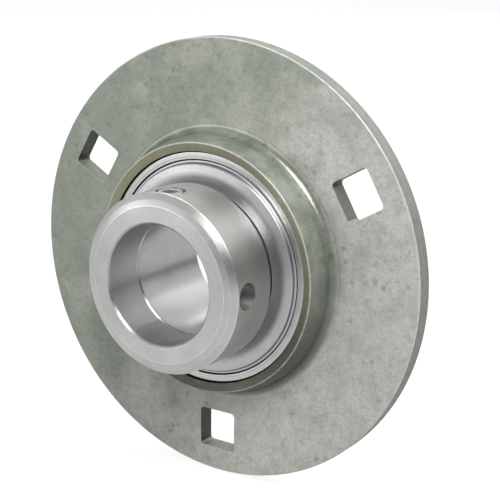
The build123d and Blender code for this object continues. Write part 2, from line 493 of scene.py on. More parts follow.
def weigh_edges(mesh: bpy.types.Mesh, spared_station: float | None) -> None:
    """Gives every sharp edge the full bevel weight.

    Args:
        mesh: The mesh.
        spared_station: Station of a plane whose edges stay sharp, or None.
    """
    work = bmesh.new()
    work.from_mesh(mesh)
    weight = work.edges.layers.float.new("bevel_weight_edge")
    for edge in work.edges:
        if edge.calc_face_angle(0.0) < SHARP:
            continue
        stations = [point.co.y for point in edge.verts]
        spared = spared_station is not None and all(
            abs(station - spared_station) < SAME_STATION for station in stations
        )
        edge[weight] = 0.0 if spared else 1.0
    work.to_mesh(mesh)
    work.free()


def smoothed(
    piece: bpy.types.Object,
    edge_break: float = 0.0,
    crease_deg: float = 32.0,
    spared_station: float | None = None,
) -> bpy.types.Object:
    """Breaks the sharp edges and shades the faces smooth between them.

    Args:
        piece: The piece.
        edge_break: Width of the bevel on sharp edges, or 0 for none.
        crease_deg: Edges sharper than this stay creased.
        spared_station: Station of a plane whose edges stay sharp, or None.

    Returns:
        The piece.
    """
    if edge_break:
        piece.data.materials.clear()
        for _ in range(2):
            piece.data.materials.append(None)
        piece.data.polygons.foreach_set("material_index", [0] * len(piece.data.polygons))
        weigh_edges(piece.data, spared_station)
        bevel = piece.modifiers.new("edge break", "BEVEL")
        bevel.width = edge_break
        bevel.segments = BEVEL_STEPS
        bevel.limit_method = "WEIGHT"
        bevel.use_clamp_overlap = True
        bevel.material = 1
        plain(piece)
        mark_bevel_wear_and_glint(piece.data)
    piece.data.shade_smooth()
    piece.data.set_sharp_from_angle(angle=math.radians(crease_deg))
    weighted = piece.modifiers.new("weighted", "WEIGHTED_NORMAL")
    weighted.keep_sharp = True
    return plain(piece)


def mark_bevel_wear_and_glint(mesh: bpy.types.Mesh) -> None:
    """Marks the points inside a bevel for edge rubbing and a painted highlight, and takes its
    material index back.

    Args:
        mesh: The mesh, with material index 1 on the bevel's faces.
    """
    worn = mesh.attributes.get(WEAR_AND_GLINT) or mesh.attributes.new(WEAR_AND_GLINT, "FLOAT", "POINT")
    bevel = {point for face in mesh.polygons if face.material_index for point in face.vertices}
    flat = {point for face in mesh.polygons if not face.material_index for point in face.vertices}
    for point in bevel - flat:
        worn.data[point].value = 1.0
    mesh.polygons.foreach_set("material_index", [0] * len(mesh.polygons))


@dataclass
class GeometryTree:
    """A geometry node tree with named inputs, ended by Realize Instances and Set Material."""

    name: str
    tree: Any = None
    inputs: Any = None

    def __post_init__(self) -> None:
        """Makes the empty tree with its geometry input, material input and output."""
        self.tree = bpy.data.node_groups.new(self.name, "GeometryNodeTree")
        face = self.tree.interface
        face.new_socket("Geometry", in_out="INPUT", socket_type="NodeSocketGeometry")
        face.new_socket("Finish", in_out="INPUT", socket_type="NodeSocketMaterial")
        face.new_socket("Geometry", in_out="OUTPUT", socket_type="NodeSocketGeometry")

    def size(self, name: str, kind: str = "NodeSocketFloat") -> None:
        """Adds a named input.

        Args:
            name: Name of the input.
            kind: Its socket type.
        """
        self.tree.interface.new_socket(name, in_out="INPUT", socket_type=kind)

    def node(self, kind: str, links: dict[str, Any] | None = None, **settings: Any) -> Any:
        """Adds a node.

        Args:
            kind: Type of the node.
            links: Input name to a value or to the socket that feeds it.
            **settings: Properties of the node.

        Returns:
            The node.
        """
        made = self.tree.nodes.new(kind)
        for key, value in settings.items():
            setattr(made, key, value)
        for key, value in (links or {}).items():
            if isinstance(value, bpy.types.NodeSocket):
                self.tree.links.new(value, made.inputs[key])
            else:
                made.inputs[key].default_value = value
        return made

    def end(self, geometry: Any) -> None:
        """Ends the tree: instances are made real and take the finish.

        Args:
            geometry: The socket with the finished geometry.
        """
        real = self.node("GeometryNodeRealizeInstances", {"Geometry": geometry})
        dressed = self.node(
            "GeometryNodeSetMaterial",
            {"Geometry": real.outputs["Geometry"], "Material": self.inputs.outputs["Finish"]},
        )
        output = self.tree.nodes.new("NodeGroupOutput")
        self.tree.links.new(dressed.outputs["Geometry"], output.inputs["Geometry"])

    def grow(self, piece: bpy.types.Object, **sizes: Any) -> bpy.types.Object:
        """Runs the tree on a piece and keeps the result as its plain mesh.

        Args:
            piece: The object whose mesh is the tree's geometry input.
            **sizes: Input name, with _ for a space, to its value.

        Returns:
            The piece.
        """
        modifier = piece.modifiers.new(self.name, "NODES")
        modifier.node_group = self.tree
        sockets = {
            item.name: item.identifier
            for item in self.tree.interface.items_tree
            if item.in_out == "INPUT"
        }
        for name, value in sizes.items():
            modifier[sockets[name.replace("_", " ")]] = value
        return plain(piece)


def ring_of_copies() -> GeometryTree:
    """The tree that sets copies of a solid round the shaft axis, each turned to face outwards.

    Returns:
        The tree, with the inputs Count, Radius and First angle.
    """
    work = GeometryTree("Ring of copies")
    work.size("Count", "NodeSocketInt")
    work.size("Radius")
    work.size("First angle")
    work.inputs = work.tree.nodes.new("NodeGroupInput")
    given = work.inputs.outputs
    circle = work.node(
        "GeometryNodeMeshCircle", {"Vertices": given["Count"], "Radius": given["Radius"]}
    )
    back = work.node("ShaderNodeMath", {0: 0.0, 1: given["First angle"]}, operation="SUBTRACT")
    angles = work.node("ShaderNodeCombineXYZ", {"X": math.pi / 2, "Y": back.outputs[0]})
    turn = work.node("FunctionNodeEulerToRotation", {"Euler": angles.outputs[0]})
    upright = work.node(
        "GeometryNodeTransform",
        {"Geometry": circle.outputs["Mesh"], "Rotation": turn.outputs["Rotation"]},
    )
    position = work.node("GeometryNodeInputPosition")
    outwards = work.node(
        "FunctionNodeAlignRotationToVector",
        {"Vector": position.outputs[0]},
        axis="X",
        pivot_axis="Y",
    )
    copies = work.node(
        "GeometryNodeInstanceOnPoints",
        {
            "Points": upright.outputs["Geometry"],
            "Instance": given["Geometry"],
            "Rotation": outwards.outputs["Rotation"],
        },
    )
    work.end(copies.outputs["Instances"])
    return work


def thread_round_core() -> GeometryTree:
    """The tree that winds a V thread round a core that stands upright.

    Returns:
        The tree, with the inputs Core radius, Depth, Turns, Length, Steps, Corners and Foot.
    """
    work = GeometryTree("Thread round core")
    for name in ("Core radius", "Depth", "Turns", "Length"):
        work.size(name)
    for name in ("Steps", "Corners"):
        work.size(name, "NodeSocketInt")
    work.size("Foot", "NodeSocketVector")
    work.inputs = work.tree.nodes.new("NodeGroupInput")
    given = work.inputs.outputs
    spiral = work.node(
        "GeometryNodeCurveSpiral",
        {
            "Resolution": given["Steps"],
            "Rotations": given["Turns"],
            "Start Radius": given["Core radius"],
            "End Radius": given["Core radius"],
            "Height": given["Length"],
        },
    )
    ridge = work.node(
        "GeometryNodeCurvePrimitiveCircle",
        {"Resolution": given["Corners"], "Radius": given["Depth"]},
    )
    thread = work.node(
        "GeometryNodeCurveToMesh",
        {
            "Curve": spiral.outputs["Curve"],
            "Profile Curve": ridge.outputs["Curve"],
            "Fill Caps": True,
        },
    )
    placed = work.node(
        "GeometryNodeTransform",
        {"Geometry": thread.outputs["Mesh"], "Translation": given["Foot"]},
    )
    both = work.tree.nodes.new("GeometryNodeJoinGeometry")
    for part in (given["Geometry"], placed.outputs["Geometry"]):
        work.tree.links.new(part, both.inputs["Geometry"])
    work.end(both.outputs["Geometry"])
    return work


class Tint(NamedTuple):
    """A colour as it shows on a screen, each channel from 0 to 255."""

    red: int
    green: int
    blue: int

    def linear(self) -> tuple[float, float, float, float]:
        """The colour in the linear values that a shader takes.

        Returns:
            Red, green, blue and an alpha of 1.
        """
        shares = (channel / 255 for channel in self)
        return (*(s / 12.92 if s <= 0.04045 else ((s + 0.055) / 1.055) ** 2.4 for s in shares), 1.0)

    def darkened(self, share: float) -> "Tint":
        """The colour with each channel at a share of its value."""
        return Tint(*(round(share * channel) for channel in self))


class Grain(NamedTuple):
    """A cloudy noise: its features in a metre, its octaves and the weight of the finer ones."""

    scale: float
    detail: float = 3.0
    roughness: float = 0.55


class Ramp(NamedTuple):
    """A smooth change of a value between two marks, and what comes out at each of them."""

    low: float
    high: float
    start: float = 0.0
    end: float = 1.0

    def past(self, size: float) -> "Ramp":
        """The same change with its marks counted from a size."""
        return self._replace(low=self.low + size, high=self.high + size)


class Mottle(NamedTuple):
    """Cloudy patches: the noise that shapes them, and how it turns into their strength."""

    grain: Grain
    ramp: Ramp


class Where(NamedTuple):
    """Where a point of a surface lies: across, up, off the shaft, along it, and off the origin."""

    across: Socket
    up: Socket
    radius: Socket
    station: Socket
    span: Socket


class Board:
    """The node tree of one material, with short calls for the nodes that the finishes use."""

    # Noise that breaks up the edge rubbing and its painted highlight
    wear_and_glint_breaks = Mottle(Grain(900, 3), Ramp(0.3, 0.6, 0.45, 1.0))

    def __init__(self, name: str) -> None:
        """Makes a material with an empty tree, a shader and an output.

        Args:
            name: Name of the material.
        """
        self.material = bpy.data.materials.new(name)
        self.material.use_nodes = True
        self.tree = self.material.node_tree
        self.tree.nodes.clear()
        self.shader = self.node("ShaderNodeBsdfPrincipled")
        output = self.node("ShaderNodeOutputMaterial")
        self.tree.links.new(self.shader.outputs["BSDF"], output.inputs["Surface"])
        self.place = self.node("ShaderNodeTexCoord").outputs["Object"]

    def node(self, kind: str, links: dict[Any, Any] | None = None, **settings: Any) -> bpy.types.Node:
        """Adds a node.

        Args:
            kind: Type of the node.
            links: Input name or number to a value or to the socket that feeds it.
            **settings: Properties of the node.

        Returns:
            The node.
        """
        made = self.tree.nodes.new(kind)
        for key, value in settings.items():
            setattr(made, key, value)
        for key, value in (links or {}).items():
            self.feed(made.inputs[key], value)
        return made

    def feed(self, socket: Socket, value: Any) -> None:
        """Sets a socket to a value, or links it.

        Args:
            socket: The input socket.
            value: A number, a colour or an output socket.
        """
        if isinstance(value, Socket):
            self.tree.links.new(value, socket)
        elif isinstance(value, Tint):
            socket.default_value = value.linear()
        else:
            socket.default_value = value

    def set(self, **values: Any) -> None:
        """Sets or links the shader's own sockets.

        Args:
            **values: Socket name, with _ for a space, to a value or a socket.
        """
        for name, value in values.items():
            self.feed(self.shader.inputs[name.replace("_", " ")], value)

    def noise(self, grain: Grain) -> Socket:
        """Cloudy noise.

        Args:
            grain: Its scale and its octaves.

        Returns:
            The output, from 0 to 1.
        """
        links = {
            "Vector": self.place,
            "Scale": grain.scale,
            "Detail": grain.detail,
            "Roughness": grain.roughness,
        }
        return self.node("ShaderNodeTexNoise", links).outputs["Fac"]

    def between(self, value: Any, ramp: Ramp) -> Socket:
        """Maps a value smoothly from one range to another and clamps it.

        Args:
            value: The value.
            ramp: The two marks and the output at each.

        Returns:
            The output.
        """
        links = {
            "Value": value,
            "From Min": ramp.low,
            "From Max": ramp.high,
            "To Min": ramp.start,
            "To Max": ramp.end,
        }
        node = self.node("ShaderNodeMapRange", links, interpolation_type="SMOOTHSTEP")
        return node.outputs["Result"]

    def patches(self, mottle: Mottle) -> Socket:
        """The strength of cloudy patches."""
        return self.between(self.noise(mottle.grain), mottle.ramp)

    def math(self, operation: str, first: Any, second: Any = 0.0) -> Socket:
        """A sum on one or two values.

        Args:
            operation: Name of the operation.
            first: First value.
            second: Second value.

        Returns:
            The output.
        """
        return self.node("ShaderNodeMath", {0: first, 1: second}, operation=operation).outputs[0]

    def total(self, first: Any, *others: Any) -> Socket:
        """The sum of values, added in their order."""
        return reduce(partial(self.math, "ADD"), others, first)

    def product(self, first: Any, *others: Any) -> Socket:
        """The product of values, multiplied in their order."""
        return reduce(partial(self.math, "MULTIPLY"), others, first)

    def blend(self, share: Any, first: Any, second: Any) -> Socket:
        """Mixes two colours.

        Args:
            share: Weight of the second colour.
            first: First colour.
            second: Second colour.

        Returns:
            The mixed colour.
        """
        node = self.node("ShaderNodeMix", data_type="RGBA")
        colours = [socket for socket in node.inputs if socket.type == "RGBA"]
        self.feed(node.inputs[0], share)
        self.feed(colours[0], first)
        self.feed(colours[1], second)
        return next(socket for socket in node.outputs if socket.type == "RGBA")

    def where(self) -> Where:
        """Where a point of the surface lies.

        Returns:
            The sockets that say so.
        """
        parts = self.node("ShaderNodeSeparateXYZ", {0: self.place}).outputs
        flat = self.node("ShaderNodeCombineXYZ", {"X": parts["X"], "Z": parts["Z"]})
        radius = self.node("ShaderNodeVectorMath", {0: flat.outputs[0]}, operation="LENGTH")
        span = self.node("ShaderNodeVectorMath", {0: self.place}, operation="LENGTH")
        lengths = radius.outputs["Value"], parts["Y"], span.outputs["Value"]
        return Where(parts["X"], parts["Z"], *lengths)

    def facing(self) -> Any:
        """The outputs X, Y and Z of the way that the surface faces."""
        normal = self.node("ShaderNodeTexCoord").outputs["Normal"]
        return self.node("ShaderNodeSeparateXYZ", {0: normal}).outputs

    def worn(self, amount: float) -> Socket:
        """How strongly the edges show rubbing and a painted highlight, broken up by a fine noise.

        Args:
            amount: The most that an edge shows rubbing and a painted highlight.

        Returns:
            The output, from 0 to the amount.
        """
        mark = self.node("ShaderNodeAttribute", attribute_name=WEAR_AND_GLINT).outputs["Fac"]
        return self.product(mark, amount, self.patches(self.wear_and_glint_breaks))

    def turning(self, scale: float, detail: float = 2.0) -> Socket:
        """The fine rings that a lathe leaves, the same all the way round.

        Args:
            scale: Rings in a metre.
            detail: Octaves.

        Returns:
            The output, from 0 to 1.
        """
        where = self.where()
        along = self.product(self.total(where.radius, where.station), scale)
        links = {"W": along, "Scale": 1.0, "Detail": detail}
        node = self.node("ShaderNodeTexNoise", links, noise_dimensions="1D")
        return node.outputs["Fac"]

    def bump(self, height: Socket, strength: float, depth: float) -> None:
        """Gives the shader a fine relief.

        Args:
            height: The relief, from 0 to 1.
            strength: Strength of the bump.
            depth: Its depth in metres.
        """
        links = {"Height": height, "Strength": strength, "Distance": depth}
        self.set(Normal=self.node("ShaderNodeBump", links).outputs["Normal"])


@dataclass(frozen=True)
class MottledZinc:
    """The mottled grey-green coat of the pressed shells, with painted shade in places and a painted
    highlight on the rubbed edges.

    The ramps on the dome, the neck and the hole walls count from the radius of the bearing's sphere,
    and those on the rim from the radius of the flange.
    """

    gauge: Gauge

    # Colours of the coat, of its stains and of the faces that the press cut, with painted shade on
    # the dome, underneath and on the hole walls, and a painted highlight on the edges
    pale: Tint = Tint(204, 203, 197)
    green: Tint = Tint(150, 157, 145)
    spot: Tint = Tint(98, 104, 92)
    # The dome's two colours are a painted shade, darker than the flange, with stains between them
    dome: Tint = Tint(88, 99, 88)
    dome_pale: Tint = Tint(136, 143, 130)
    # Painted shade on the dome's underside
    dome_underside_shade: Tint = Tint(46, 56, 42)
    # Painted shade on the hole walls
    hole_wall_shade: Tint = Tint(44, 53, 34)
    rim_side: Tint = Tint(98, 105, 97)
    cut_edge: Tint = Tint(150, 149, 124)
    # Painted shade on the lip's cut end underneath
    cut_edge_underside_shade: Tint = Tint(74, 77, 60)
    # Painted highlight on the edges, paler where they are rubbed
    rubbed_edge_glint: Tint = Tint(228, 227, 218)

    # Where the coat turns green: a painted shade, greener and darker towards the upper left, mixed
    # with random tone; and the patches in it from broad to fine
    shade_across: float = -6.0
    shade_up: float = 3.0
    green_grain: Grain = Grain(60, 4)
    green_ramp: Ramp = Ramp(0.25, 0.8)
    dome_shade_ramp: Ramp = Ramp(2.4 * MM, 4.2 * MM, 0.78, 0.0)
    # Painted shade that grows towards the bottom
    underside_shade_ramp: Ramp = Ramp(8.0 * MM, -16.0 * MM)
    stain: Mottle = Mottle(Grain(170, 5, 0.6), Ramp(0.38, 0.62))
    cloud: Mottle = Mottle(Grain(240, 6, 0.62), Ramp(0.42, 0.66, 0.0, 0.17))
    blotch: Mottle = Mottle(Grain(620, 5, 0.7), Ramp(0.46, 0.68, 0.0, 0.22))
    speck: Mottle = Mottle(Grain(3200, 3, 0.65), Ramp(0.42, 0.65, 0.0, 0.28))

    # Water spots
    drops_in_metre: float = 420.0
    drop_ramp: Ramp = Ramp(0.2, 0.3, 0.32, 0.0)
    drop_groups: Mottle = Mottle(Grain(45, 2), Ramp(0.48, 0.56))
    drop_choice: Ramp = Ramp(0.5, 0.55)

    # Faces that stand square to the flange, the lip's end and the neck
    steep_ramp: Ramp = Ramp(0.25, 0.5, 1.0, 0.0)
    rim_ramp: Ramp = Ramp(-0.6 * MM, -0.3 * MM, 0.0, 0.75)
    # Painted shade on the hole walls, by the way they face
    wall_shade_ramp: Ramp = Ramp(0.3, 0.8, 0.95, 0.5)
    outside_dome: Ramp = Ramp(5.4 * MM, 6.0 * MM)
    inside_rim: Ramp = Ramp(-1.5 * MM, -0.9 * MM, 1.0, 0.0)
    lip_ramp: Ramp = Ramp(0.300, 0.304, 0.0, 0.75)
    neck_radius: Ramp = Ramp(3.7 * MM, 4.3 * MM, 1.0, 0.0)
    neck_station: Ramp = Ramp(4.0 * MM, 5.0 * MM, 1.0, 0.0)

    # Gloss and relief
    # How strongly the edges show rubbing with a painted highlight, and how much the rubbing polishes
    # them
    edge_wear_and_glint: float = 0.5
    wear_polish: float = 0.15
    roughness: Mottle = Mottle(Grain(700, 4), Ramp(0.3, 0.7, 0.38, 0.55))
    neck_roughness: float = 0.25
    metal_ramp: Ramp = Ramp(0.0, 1.0, 0.25, 0.4)
    relief_grain: Grain = Grain(1500, 5, 0.65)
    relief_strength: float = 0.25
    relief_depth: float = 0.04 * MM

    def make(self) -> bpy.types.Material:
        """Builds the material.

        Returns:
            The material.
        """
        board = Board("mottled zinc")
        where = board.where()
        # Painted shade, darker towards the bottom
        underside_shade = board.between(where.up, self.underside_shade_ramp)
        worn = board.worn(self.edge_wear_and_glint)
        base = self.coat(board, where, underside_shade)
        base = self.cut_faces(board, where, underside_shade, base)
        # Painted highlight on the edges; the rubbing also lowers the roughness below
        base = board.blend(worn, base, self.rubbed_edge_glint)
        burnished = self.neck(board, where)
        coated = board.math("SUBTRACT", 1.0, burnished)
        coat_rough = board.product(board.patches(self.roughness), coated)
        rough = board.total(coat_rough, board.product(burnished, self.neck_roughness))
        rough = board.math("SUBTRACT", rough, board.product(worn, self.wear_polish))
        metal = board.between(burnished, self.metal_ramp)
        board.set(Base_Color=base, Roughness=rough, Metallic=metal)
        relief = board.product(board.noise(self.relief_grain), coated)
        board.bump(relief, self.relief_strength, self.relief_depth)
        return board.material

    def coat(self, board: Board, where: Where, underside_shade: Socket) -> Socket:
        """The coat itself: greener and darker towards the upper left as a painted shade mixed with
        random tone, painted darker on the dome as shade with stains, darker still underneath, and
        spotted.

        Args:
            board: The material's board.
            where: Where the surface lies.
            underside_shade: How far below the shaft it lies, from 0 to 1, which sets the painted
                shade underneath.

        Returns:
            Its colour.
        """
        # Painted shade: greener and darker towards the upper left, broken up by random tone
        across = board.product(where.across, self.shade_across)
        up = board.product(where.up, self.shade_up)
        drift = board.total(across, up, board.noise(self.green_grain))
        base = board.blend(board.between(drift, self.green_ramp), self.pale, self.green)
        dome = board.blend(board.patches(self.stain), self.dome, self.dome_pale)
        # Painted shade on the dome's underside
        dome = board.blend(underside_shade, dome, self.dome_underside_shade)
        # Painted shade over the dome, fading out at the neck
        on_dome = board.between(where.span, self.dome_shade_ramp.past(self.gauge.sphere_radius))
        base = board.blend(on_dome, base, dome)
        for layer in (self.cloud, self.blotch, self.speck):
            base = board.blend(board.patches(layer), base, self.spot)
        return board.blend(self.water_spots(board), base, self.spot)

    def water_spots(self, board: Board) -> Socket:
        """Small roundish spots, which come in groups.

        Args:
            board: The material's board.

        Returns:
            Their strength.
        """
        links = {"Vector": board.place, "Scale": self.drops_in_metre, "Randomness": 1.0}
        cells = board.node("ShaderNodeTexVoronoi", links)
        spot = board.between(cells.outputs["Distance"], self.drop_ramp)
        picks = board.node("ShaderNodeSeparateXYZ", {0: cells.outputs["Color"]}).outputs["X"]
        chosen = board.between(picks, self.drop_choice)
        return board.product(spot, board.patches(self.drop_groups), chosen)

    def cut_faces(self, board: Board, where: Where, underside_shade: Socket, base: Socket) -> Socket:
        """Tints the faces that the press cut: the rim's side; the hole walls, with a painted shade
        that is darkest where they face sideways; and the lip's end, with a painted shade underneath.

        Args:
            board: The material's board.
            where: Where the surface lies.
            underside_shade: How far below the shaft it lies, from 0 to 1, which sets the painted
                shade underneath.
            base: Colour of the coat.

        Returns:
            The colour with the cut faces tinted.
        """
        facing = board.facing()
        steep = board.between(board.math("ABSOLUTE", facing["Y"]), self.steep_ramp)
        sphere, rim = self.gauge.sphere_radius, self.gauge.flange_radius
        on_rim = board.product(steep, board.between(where.radius, self.rim_ramp.past(rim)))
        base = board.blend(on_rim, base, self.rim_side)
        outside_dome = board.between(where.radius, self.outside_dome.past(sphere))
        inside_rim = board.between(where.radius, self.inside_rim.past(rim))
        # Painted shade on the hole walls, weaker where they face up
        wall_shade_share = board.between(facing["Z"], self.wall_shade_ramp)
        base = board.blend(board.product(steep, outside_dome, inside_rim, wall_shade_share), base, self.hole_wall_shade)
        lean = board.math("DIVIDE", board.math("ABSOLUTE", where.station), where.span)
        # Painted shade on the lip's cut end underneath
        lip = board.blend(underside_shade, self.cut_edge, self.cut_edge_underside_shade)
        return board.blend(board.between(lean, self.lip_ramp), base, lip)

    def neck(self, board: Board, where: Where) -> Socket:
        """The bend between the dome and the flange, rubbed smooth by the press.

        Args:
            board: The material's board.
            where: Where the surface lies.

        Returns:
            1 in the bend and 0 elsewhere.
        """
        near = board.between(where.radius, self.neck_radius.past(self.gauge.sphere_radius))
        low = board.between(board.math("ABSOLUTE", where.station), self.neck_station)
        return board.product(near, low)


@dataclass(frozen=True)
class TurnedSteel:
    """Bright steel with the fine rings of a lathe.

    A crevice is a span of radii that is painted dark near the bearing's faces, as painted shade.
    """

    gauge: Gauge
    name: str
    tone: Tint
    dull: Tint
    roughness: float
    rings: float = 9000.0
    relief: float = 0.02
    relief_depth: float = 0.01 * MM
    stretch: float = 0.6
    stretch_turn: float = 0.25
    broad_haze: Grain = Grain(150, 4)
    fine_haze: Grain = Grain(4200, 3)
    dull_ramp: Ramp = Ramp(1.15, 1.85)
    # Painted shade in the bore: the steel there is darker
    bore_shade_ramp: Ramp = Ramp(0.2 * MM, 0.3 * MM, 0.25, 0.0)
    bore_shade_share: float = 0.55
    # Painted shade in the crevices
    crevice_shade: Tint = Tint(22, 22, 21)
    # Painted highlight on the edges, paler where they are rubbed
    rubbed_edge_glint: Tint = Tint(236, 236, 234)
    edge_wear_and_glint: float = 0.7
    sand: Mottle = Mottle(Grain(5000, 2), Ramp(0.3, 0.7, 0.86, 1.16))
    crevices: tuple[tuple[float, float], ...] = ()
    crevice_fade: float = 0.04 * MM
    crevice_ramp: Ramp = Ramp(-0.9 * MM, -0.8 * MM)

    def make(self) -> bpy.types.Material:
        """Builds the material.

        Returns:
            The material.
        """
        board = Board(f"turned steel {self.name}")
        rings = board.turning(self.rings)
        where = board.where()
        haze = board.total(board.noise(self.broad_haze), board.noise(self.fine_haze))
        hazy = board.between(board.total(rings, haze), self.dull_ramp)
        base = board.blend(hazy, self.tone, self.dull)
        # Painted shade in the bore
        in_bore = board.between(where.radius, self.bore_shade_ramp.past(self.gauge.shaft_radius))
        base = board.blend(in_bore, base, self.dull.darkened(self.bore_shade_share))
        # Painted shade in the crevices near the bearing's faces
        base = self.shade_crevices(board, where, base)
        # Painted highlight on the edges
        base = board.blend(board.worn(self.edge_wear_and_glint), base, self.rubbed_edge_glint)
        rough = board.product(board.patches(self.sand), self.roughness)
        board.set(Base_Color=base, Roughness=rough, Metallic=1.0)
        around = board.node("ShaderNodeTangent", direction_type="RADIAL", axis="Y").outputs[0]
        board.set(Anisotropic=self.stretch, Anisotropic_Rotation=self.stretch_turn, Tangent=around)
        board.bump(rings, self.relief, self.relief_depth)
        return board.material

    def shade_crevices(self, board: Board, where: Where, base: Socket) -> Socket:
        """Paints shade into the crevices near the bearing's faces.

        Args:
            board: The material's board.
            where: Where the surface lies.
            base: Colour of the steel without the painted shade.

        Returns:
            The colour with the crevices dark.
        """
        depth = self.crevice_ramp.past(self.gauge.half_width)
        near_face = board.between(board.math("ABSOLUTE", where.station), depth)
        for low, high in self.crevices:
            fade = self.crevice_fade
            above = board.between(where.radius, Ramp(low - fade, low + fade))
            below = board.between(where.radius, Ramp(high - fade, high + fade, 1.0, 0.0))
            base = board.blend(board.product(above, below, near_face), base, self.crevice_shade)
        return base


@dataclass(frozen=True)
class MouldedSoft:
    """A matt moulded material, such as rubber or nylon."""

    name: str
    tone: Tint
    shade: Tint
    roughness: float
    unevenness: float = 0.12
    shade_grain: Grain = Grain(600, 4)
    rough_grain: Grain = Grain(900, 3)
    rough_marks: tuple[float, float] = (0.3, 0.7)
    relief_grain: Grain = Grain(2400, 3)
    relief_strength: float = 0.2
    relief_depth: float = 0.02 * MM

    def make(self) -> bpy.types.Material:
        """Builds the material.

        Returns:
            The material.
        """
        board = Board(f"moulded {self.name}")
        base = board.blend(board.noise(self.shade_grain), self.tone, self.shade)
        ramp = Ramp(*self.rough_marks, self.roughness, self.roughness + self.unevenness)
        board.set(Base_Color=base, Roughness=board.between(board.noise(self.rough_grain), ramp))
        board.bump(board.noise(self.relief_grain), self.relief_strength, self.relief_depth)
        return board.material


class Finishes:
    """Every finish of the unit, each made once."""

    silver = Tint(206, 206, 204)
    silver_dull = Tint(186, 186, 185)
    turned = Tint(200, 201, 199)
    turned_dull = Tint(178, 179, 177)
    bright = Tint(216, 216, 214)
    bright_dull = Tint(196, 196, 194)
    bluish = Tint(198, 199, 200)
    bluish_dull = Tint(184, 185, 187)
    polished = Tint(222, 222, 224)
    polished_dull = Tint(212, 212, 214)
    black = Tint(24, 24, 25)
    black_worn = Tint(34, 34, 35)
    ivory = Tint(205, 196, 168)
    ivory_shade = Tint(190, 180, 150)
    ring_seam = (-0.055 * MM, 0.165 * MM)
    sheet_seam = (-0.175 * MM, 0.245 * MM)
    sphere_edge = -0.395 * MM

    def __init__(self, gauge: Gauge) -> None:
        """Builds the materials.

        Args:
            gauge: The sizes that the finishes follow.
        """
        steel = partial(TurnedSteel, gauge)
        polish = {"rings": 300.0, "relief": 0.0, "stretch": 0.0}
        seat = gauge.washer_radius
        # Crevices beside the seal, under it and beside the lip, which get painted shade
        beside_seal, under_seal = (
            tuple(seat + reach for reach in seam) for seam in (self.ring_seam, self.sheet_seam)
        )
        beside_lip = (gauge.face_radius + self.sphere_edge, gauge.flange_radius)
        gaps = (beside_seal, beside_lip)
        recipes = {
            "housing": MottledZinc(gauge),
            "ring": steel("ring", self.silver, self.silver_dull, 0.32, crevices=gaps),
            "collar": steel("collar", self.turned, self.turned_dull, 0.38),
            "screw": steel("screw", self.bright, self.bright_dull, 0.4, stretch=0.0),
            "seal_sheet": steel(
                "sheet", self.bluish, self.bluish_dull, 0.42, crevices=(under_seal,)
            ),
            "ball": steel("ball", self.polished, self.polished_dull, 0.08, **polish),
            "seal_rubber": MouldedSoft("rubber", self.black, self.black_worn, 0.55),
            "cage": MouldedSoft("nylon", self.ivory, self.ivory_shade, 0.45),
        }
        self.made = {slot: recipe.make() for slot, recipe in recipes.items()}

    def dress(self, piece: bpy.types.Object, slot: str, body: str, node: str) -> bpy.types.Object:
        """Gives a piece its finish and sets it on its body, in place of its CAD node.

        Args:
            piece: The piece.
            slot: The material slot of the record.
            body: The body that it rides on.
            node: The node that it stands for.

        Returns:
            The piece.
        """
        piece.data.materials.clear()
        piece.data.materials.append(self.made[slot])
        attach(piece, body)
        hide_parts(node)
        LOG.info("%s rides on %s, %d faces", piece.name, body, len(piece.data.polygons))
        return piece


